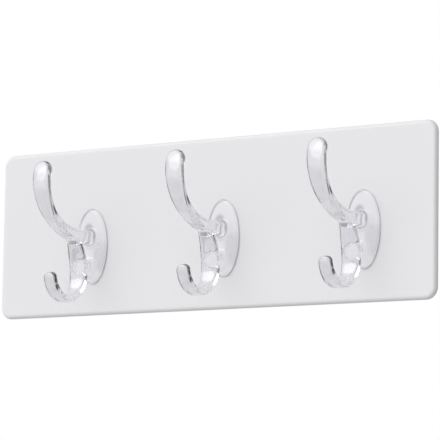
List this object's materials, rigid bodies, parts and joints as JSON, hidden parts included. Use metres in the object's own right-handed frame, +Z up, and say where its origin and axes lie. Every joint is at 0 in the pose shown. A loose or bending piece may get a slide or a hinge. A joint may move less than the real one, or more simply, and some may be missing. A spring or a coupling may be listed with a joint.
{
  "type": "wall coat rack",
  "caption": "Wall coat rack: a flat board with rounded edges and a row of clear one-piece double hooks, each with an upturned arm over a J, stuck to the wall with foam tape.",
  "frame": {"origin": "on the wall, behind the middle of the board's outline, in the middle of the centre strip of tape", "axes": "+X along the board to the viewer's right, +Y into the wall, +Z up; the hooks point along -Y"},
  "size_m": [0.3, 0.0583, 0.1],
  "materials": {
    "board_plastic": "satin light grey moulding",
    "clear_plastic": "clear and polished",
    "gel_adhesive": "milky soft gel",
    "foam_tape": "closed-cell foam"
  },
  "bodies": {
    "root": {"back_board": "board_plastic", "wall_tape_left": "foam_tape", "wall_tape_middle": "foam_tape", "wall_tape_right": "foam_tape", "hook_pad_left": "gel_adhesive", "hook_pad_middle": "gel_adhesive", "hook_pad_right": "gel_adhesive", "hook_left": "clear_plastic", "hook_middle": "clear_plastic", "hook_right": "clear_plastic"}
  },
  "joints": []
}
